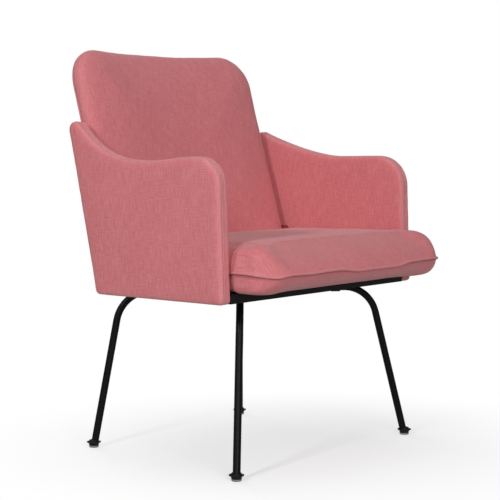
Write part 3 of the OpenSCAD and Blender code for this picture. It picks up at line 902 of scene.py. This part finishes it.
def cushion_halves():
    """The closed form of the cushion as points, faces and data, before it is stuffed."""
    sides = cushion_sides()
    nu, nv = len(sides[0]) - 1, len(sides[1]) - 1
    loop = closed_loop(sides)
    normal = inward(loop, 60 * MM)
    turning = inward(loop, 16 * MM)
    count = len(loop)
    facing = turning[:, 1] / np.linalg.norm(turning, axis=1)
    w_nose = np.clip(facing, 0, 1) ** 2 * (loop[:, 1] < ARM_FRONT)
    rear_line = loop[:, 1].max()
    w_rear = smooth((loop[:, 1] - rear_line + 46 * MM) / (30 * MM))
    wave = seam_wave(loop[:, 0], loop[:, 1])

    top_rings = cushion_rings(loop, normal, TOP_NOSE, TOP_SIDE, TOP_REAR, w_nose, w_rear)
    low_rings = cushion_rings(loop, normal, LOW_NOSE, LOW_SIDE, LOW_REAR, w_nose, w_rear)
    top = cushion_half_shell(top_rings, normal, nu, nv, top_crown, 4 * MM)
    low = cushion_half_shell(low_rings, normal, nu, nv, low_crown, 4 * MM)
    points, faces, cloth, edge, part = [], [], [], [], []
    start = 0
    for (uv, lift, fade, laid), lower in ((top, False), (low, True)):
        ring_count = len(TOP_NOSE)
        inner = len(uv) - ring_count * count
        wave_all = join([np.tile(wave, ring_count), np.zeros(inner)])
        fading = join([np.repeat(np.linspace(1, 0, ring_count), count), np.zeros(inner)])
        fall = np.exp(-np.abs(lift) / (22 * MM)) * fading
        z = SEAM_Z + lift + wave_all * fall
        back_share = np.clip((uv[:, 1] - ARM_FRONT) / 0.36, 0, 1)
        z = z - 8.0 * MM * back_share * smooth(lift / (55 * MM))
        points.append(np.stack([uv[:, 0], uv[:, 1], z], 1))
        cloth.append(np.stack([laid[:, 0], laid[:, 1], np.zeros(len(uv))], 1))
        edge.append(fade)
        part.append(np.full(len(uv), 1.0 if lower else 0.0))
        faces += ring_faces(start, count, ring_count, lower)
        faces += grid_faces(start + count * ring_count, nu, nv, lower)
        start += len(uv)
    points = join(points)
    data = {"cloth": cloth, "edge": edge, "part": part}
    return weld(points, faces, {key: join(values) for key, values in data.items()})


def held_in(whole):
    """Keeps the cushion between the arms and above the platform."""
    co = coordinates(whole)
    grip = co[:, 1] > GRIP_Y + 4 * MM
    limit = np.where(grip, ARM_INNER - 0.9 * MM, ARM_OUTER)
    co[:, 0] = np.clip(co[:, 0], -limit, limit)
    over_deck = co[:, 1] > ARM_FRONT - 2 * MM
    co[:, 2] = np.where(over_deck, np.maximum(co[:, 2], DECK_TOP + 0.6 * MM), co[:, 2])
    set_coordinates(whole, co)


def cushion():
    """The whole stuffed cushion is simulated as one closed form, then cut at its seam."""
    points, faces, data = cushion_halves()
    whole = new_mesh("cushion_whole", points, faces, data)
    edge = stored(whole, "edge")
    part = stored(whole, "part")
    seam = edge > 0.999
    free = np.where(seam, 0.0, np.where(part > 0.5, 0.35, 1.0))
    rested = (part > 0.5) & (points[:, 2] < DECK_TOP + 3 * MM)
    free[rested] = 0
    layer = whole.data.attributes.new("free", "FLOAT", "POINT")
    layer.data.foreach_set("value", free.astype(np.float32))
    puff(whole, free, 4 * MM, 4.0, 0.001)
    pucker(whole, 1.1 * MM, 1.0 * MM, 13 * MM, 8.4)
    held_in(whole)
    return whole, seam, part


def cut_cover(whole, seam, keep, name, node_name, shade=0.0):
    """One cover of the cushion, as a thin shell up to the seam."""
    co = coordinates(whole)
    faces = [tuple(p.vertices) for p in whole.data.polygons]
    faces = [f for f in faces if all(keep[v] or seam[v] for v in f)]
    used = sorted({v for f in faces for v in f})
    index = {v: k for k, v in enumerate(used)}
    faces = [tuple(index[v] for v in f) for f in faces]
    cloth = np.zeros(len(co) * 3)
    whole.data.attributes["cloth"].data.foreach_get("vector", cloth)
    near_seam = stored(whole, "edge")[used]
    data = {"cloth": cloth.reshape(-1, 3)[used]}
    # The top cover gets a painted highlight near the seam; with shade at 1 the lower cover gets a painted
    # shadow just under the welt instead.
    data["edge"] = near_seam * 0.6 * (1 - shade)
    data["shade"] = near_seam * shade
    obj = new_mesh(name, co[used], faces, data)
    finer(obj)
    shell(obj, 1.6 * MM)
    ride(obj, "seat_cushion", FABRIC)
    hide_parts(node_name)


def cushion_foam(whole, seam):
    """The foam core, just inside the covers."""
    co = coordinates(whole)
    normals = np.array([v.normal for v in whole.data.vertices])
    depth = np.where(seam, 8.0, 4.0) * MM
    faces = [tuple(p.vertices) for p in whole.data.polygons]
    obj = new_mesh("cushion_foam_core", co - normals * depth[:, None], faces)
    ride(obj, "seat_cushion", FOAM)
    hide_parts("cushion_core")


def tube_along(name, path, radius, sides=10, ripple=0.0):
    """A round cord along an open path, its ends closed."""
    path = np.asarray(path)
    tangent = unit(np.gradient(path, axis=0))
    up = np.array([0, 0, 1.0])
    points = []
    cloth = []
    along = run_length(path)
    for i, (p, t) in enumerate(zip(path, tangent)):
        side = np.cross(t, up)
        side /= np.linalg.norm(side)
        top = np.cross(side, t)
        r = radius * (1 + ripple * wrinkle(p, 7 * MM, 3.3))
        for k in range(sides):
            a = 2 * math.pi * k / sides
            points.append(p + r * (math.cos(a) * side + math.sin(a) * top))
            cloth.append((along[i], k * r * 0.6, 0))
    faces = []
    for i in range(len(path) - 1):
        for k in range(sides):
            a, b = i * sides + k, i * sides + (k + 1) % sides
            faces.append((a, b, b + sides, a + sides))
    faces.append(tuple(range(sides))[::-1])
    faces.append(tuple((len(path) - 1) * sides + k for k in range(sides)))
    # the cord gets a little of the painted highlight all over
    data = {"cloth": np.array(cloth), "edge": np.full(len(points), 0.25)}
    return new_mesh(name, np.array(points), faces, data)


def piping():
    """The welt at the seam, round the nose from one arm to the other."""
    sides = cushion_sides()
    loop = closed_loop(sides)
    nu, nv = len(sides[0]) - 1, len(sides[1]) - 1
    order = np.roll(np.arange(len(loop)), nv)
    run = loop[order][: nu + 2 * nv]
    out = -inward(loop, 12 * MM)[order][: nu + 2 * nv]
    keep = run[:, 1] < GRIP_Y + 6 * MM
    run, out = run[keep], out[keep]
    z = SEAM_Z + seam_wave(run[:, 0], run[:, 1])
    path = np.stack([run[:, 0] + out[:, 0] * 1.3 * MM, run[:, 1] + out[:, 1] * 1.3 * MM, z], 1)
    path = path[np.argsort(np.unwrap(np.arctan2(path[:, 1] - ARM_FRONT - 0.1, path[:, 0])))]
    path = resample(path, 260)
    for p in path:
        p[2] += 0.35 * MM * wrinkle(p, 16 * MM, 1.1)
    inside = np.abs(path[:, 0]) > ARM_INNER - 1 * MM
    tucked = np.sign(path[:, 0]) * (ARM_INNER - 1.4 * MM)
    path[:, 0] = np.where(inside & (path[:, 1] > ARM_FRONT), tucked, path[:, 0])
    obj = tube_along("cushion_welt", path, 2.2 * MM, 12, 0.08)
    ride(obj, "seat_cushion", FABRIC)
    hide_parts("cushion_piping")


# ---- seat frame ----


def webbing():
    """Five flat woven bands, a little slack under the cushion."""
    lo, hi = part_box("seat_webbing")
    wide = 44 * MM
    pitch = (hi.y - lo.y - wide) / 4
    points, faces, cloth = [], [], []
    nx, ny = 60, 6
    for band in range(5):
        y0 = lo.y + band * pitch
        for lower in (0, 1):
            base = len(points)
            for i in range(nx + 1):
                for j in range(ny + 1):
                    x = lo.x + (hi.x - lo.x) * i / nx
                    y = y0 + wide * j / ny
                    sag = 3.0 * MM * smooth((min(x - lo.x, hi.x - x) - 0.05) / 0.12)
                    rib = 0.15 * MM * math.cos(j * math.pi)
                    z = hi.z - 0.1 * MM - lower * 1.4 * MM - sag + rib * (1 - 2 * lower)
                    points.append((x, y, z))
                    cloth.append((y, x, 0))
            faces += grid_faces(base, nx, ny, bool(lower))
        row = ny + 1
        half = (nx + 1) * row
        a, b = len(points) - 2 * half, len(points) - half
        rim = [(i * row, (i + 1) * row) for i in range(nx)]
        rim += [((i + 1) * row + ny, i * row + ny) for i in range(nx)]
        rim += [(j + 1, j) for j in range(ny)]
        rim += [(nx * row + j, nx * row + j + 1) for j in range(ny)]
        faces += [(a + q, a + p, b + p, b + q) for p, q in rim]
    data = {"cloth": np.array(cloth), "edge": np.zeros(len(points))}
    obj = new_mesh("seat_webbing_bands", np.array(points), faces, data)
    ride(obj, "chair", WEBBING)
    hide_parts("seat_webbing")


def cloth_panel(name, outline_node, height, sag, seed):
    """A thin lining cloth, pulled tight at its edges and slack in the middle."""
    lo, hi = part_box(outline_node)
    nx, ny = 72, 36
    lines = np.linspace(lo.x, hi.x, nx + 1), np.linspace(lo.y, hi.y, ny + 1)
    grid = np.stack(np.meshgrid(*lines, indexing="ij"), -1)
    flat = grid.reshape(-1, 2)
    x, y = flat.T
    near = np.minimum.reduce([x - lo.x, hi.x - x, y - lo.y, hi.y - y])
    z = height - sag * smooth((near - 0.04) / 0.13)
    waves = np.array([wrinkle((p[0], p[1], 0), 40 * MM, seed) for p in flat])
    z = z + 0.3 * MM * waves * np.minimum(1, near / 0.02)
    points = np.stack([flat[:, 0], flat[:, 1], z], 1)
    data = {"cloth": np.stack([flat[:, 0], flat[:, 1], z * 0], 1), "edge": np.zeros(len(points))}
    obj = new_mesh(name, points, grid_faces(0, nx, ny), data)
    ride(shell(obj, 0.5 * MM), "chair", LINING)
    return obj, (hi.x - lo.x, hi.y - lo.y)


def under_cloth():
    """The black cloth under the seat: eight-sided, clear of the corner gussets."""
    lo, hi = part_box("dust_cover")
    cut = 105 * MM
    inset = 1.0 * MM
    x1, y0, y1 = hi.x - inset, lo.y + inset, hi.y - inset
    stops = ((y0, y0 + cut, 15), (y0 + cut, y1 - cut, 8), (y1 - cut, y1, 15))
    rows = np.unique(join([np.linspace(*stop) for stop in stops]))
    nx = 60
    points = []
    for y in rows:
        slant = max(y0 + cut - y, y - y1 + cut, 0.0)
        half = x1 - slant
        for k in range(nx + 1):
            x = half * (2 * k / nx - 1)
            away = min(half - abs(x), y - y0, y1 - y)
            wave = wrinkle((x, y, 0), 45 * MM, 5.0) * min(1, away / 0.03)
            sag = 1.0 * MM * smooth(away / 0.09) - 0.35 * MM * wave
            points.append((x, y, hi.z - 0.2 * MM - sag))
    points = np.array(points)
    flat = np.stack([points[:, 0], points[:, 1], np.zeros(len(points))], 1)
    faces = grid_faces(0, len(rows) - 1, nx, True)
    obj = new_mesh("under_seat_cloth", points, faces, {"cloth": flat, "edge": np.zeros(len(points))})
    ride(shell(obj, 0.5 * MM), "chair", LINING)
    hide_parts("dust_cover")


def linings():
    """The cloth between the webbing and the cushion."""
    deck, size = cloth_panel("platform_lining", "platform_cloth", DECK_TOP, 2.0 * MM, 2.0)
    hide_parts("platform_cloth")


def finishes():
    """The CAD nodes whose shape is right keep it, and get their finish."""
    by_node = {
        "leg_tube_long": TUBE, "leg_tube_front_half": TUBE, "leg_tube_rear_half": TUBE,
        "tube_clips": CLIP, "clip_screws": SCREW, "glide_cups": CUP, "glide_discs": GLIDE,
        "front_rail": RAIL, "rear_rail": RAIL, "side_rail_right": RAIL, "side_rail_left": RAIL,
        "corner_gussets": PLY, "rail_screws": SCREW, "arm_right_board": PLY,
        # arm_bolts and arm_spacers take that painted shade colour
        "arm_bolts": BOLT, "arm_spacers": SPACER, "back_board": PLY, "back_battens": BATTEN,
        "cushion_zip": ZIP,
    }
    for name, material in by_node.items():
        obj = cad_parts[name]
        if not obj.material_slots:
            obj.data.materials.append(material)
        for slot in obj.material_slots:
            slot.material = material


# ---- stage ----


def only_seen(name, material):
    """The piece just added is stage: it is seen, but doesn't tint the object."""
    obj = bpy.context.object
    obj.name = name
    obj.data.materials.append(material)
    obj.visible_diffuse = False
    obj.visible_glossy = False
    return obj


WHITE = (1, 1, 1, 1)


def white_glow(tree):
    glow = node(tree, "ShaderNodeEmission")
    set_inputs(glow, {"Color": WHITE})
    return glow.outputs[0]


def floor():
    """A pale floor that fades to white away from the chair. Its glow is painted light, and the greyer pool
    round the chair is painted shade; it also catches the real shadows.
    """
    mat, tree, shader = new_material("pale_floor")
    coords = node(tree, "ShaderNodeTexCoord").outputs["Object"]
    far = node(tree, "ShaderNodeVectorMath", operation="LENGTH")
    middle = node(tree, "ShaderNodeVectorMath", operation="ADD")
    middle.inputs[1].default_value = (0.02, 0.12, 0)
    tree.links.new(coords, middle.inputs[0])
    tree.links.new(middle.outputs[0], far.inputs[0])
    set_inputs(shader, {"Base Color": (0.80, 0.80, 0.805, 1), "Roughness": 0.7})
    set_inputs(shader, {"Specular IOR Level": 0.2, "Emission Color": WHITE, "Emission Strength": 0.46})
    mix = node(tree, "ShaderNodeMixShader")
    # the fade from lit floor to plain white glow leaves a painted pool of shade round the chair
    tree.links.new(ranged(tree, far.outputs["Value"], 0.15, 0.8), mix.inputs[0])
    tree.links.new(shader.outputs[0], mix.inputs[1])
    tree.links.new(white_glow(tree), mix.inputs[2])
    tree.links.new(mix.outputs[0], tree.nodes["Material Output"].inputs["Surface"])
    bpy.ops.mesh.primitive_circle_add(vertices=96, radius=30, fill_type="NGON", location=(0, 0, 0))
    only_seen("floor", mat)


def backdrop():
    """White all round, beyond the floor."""
    mat, tree, _ = new_material("white_backdrop")
    tree.links.new(white_glow(tree), tree.nodes["Material Output"].inputs["Surface"])
    bpy.ops.mesh.primitive_uv_sphere_add(segments=48, ring_count=24, radius=35, location=(0, 0, 0))
    only_seen("backdrop", mat).visible_shadow = False


def area_light(name, place, target, size, power):
    data = bpy.data.lights.new(name, "AREA")
    data.shape = "RECTANGLE"
    data.size, data.size_y = size
    data.energy = power
    obj = bpy.data.objects.new(name, data)
    obj.location = place
    obj.rotation_euler = (Vector(target) - Vector(place)).to_track_quat("-Z", "Y").to_euler()
    scene.collection.objects.link(obj)


def lights():
    """Soft studio lights, and a white world that is brighter from below."""
    area_light("key", (-3.4, -0.45, 1.95), (0, 0, 0.45), (0.5, 0.5), 40)
    area_light("front", (-2.0, -2.9, 1.4), (0, 0, 0.5), (1.6, 1.4), 51)
    area_light("overhead", (0.1, 0.1, 3.0), (0, 0, 0.4), (2.4, 2.4), 13)
    area_light("rear", (1.0, 3.2, 1.5), (0, 0, 0.5), (1.8, 1.4), 20)
    world = bpy.data.worlds.new("studio")
    scene.world = world
    world.use_nodes = True
    tree = world.node_tree
    parts = node(tree, "ShaderNodeSeparateXYZ")
    tree.links.new(node(tree, "ShaderNodeTexCoord").outputs["Generated"], parts.inputs[0])
    low_light = ranged(tree, parts.outputs[2], -0.15, 0.1, 0.34, 0.17)
    tree.links.new(low_light, tree.nodes["Background"].inputs["Strength"])
    set_inputs(tree.nodes["Background"], {"Color": WHITE})


def camera():
    data = bpy.data.cameras.new("view")
    data.lens = 107.19
    data.sensor_width = 36
    data.clip_end = 100
    obj = bpy.data.objects.new("view", data)
    obj.location = (-2.404, Y0 - 2.075, 0.6468)
    obj.rotation_euler = (math.radians(90 - 4.38), 0, math.radians(-50.72))
    scene.collection.objects.link(obj)
    scene.camera = obj


for side_name, sign in (("right", -1), ("left", 1)):
    arm_pads(side_name, sign)
    arm_band(side_name, sign)
    stitches(side_name, sign)
left_board()
back_pads()
whole_cushion, seam_points, lower_part = cushion()
cut_cover(whole_cushion, seam_points, lower_part < 0.5, "cushion_top_fabric", "cushion_top_cover")
# the lower cover gets a painted shadow under the welt
cut_cover(whole_cushion, seam_points, lower_part > 0.5, "cushion_lower_fabric", "cushion_lower_cover", 1.0)
piping()
cushion_foam(whole_cushion, seam_points)
bpy.data.objects.remove(whole_cushion)
webbing()
linings()
under_cloth()
finishes()
floor()
backdrop()
lights()
camera()
scene.view_settings.view_transform = "Standard"
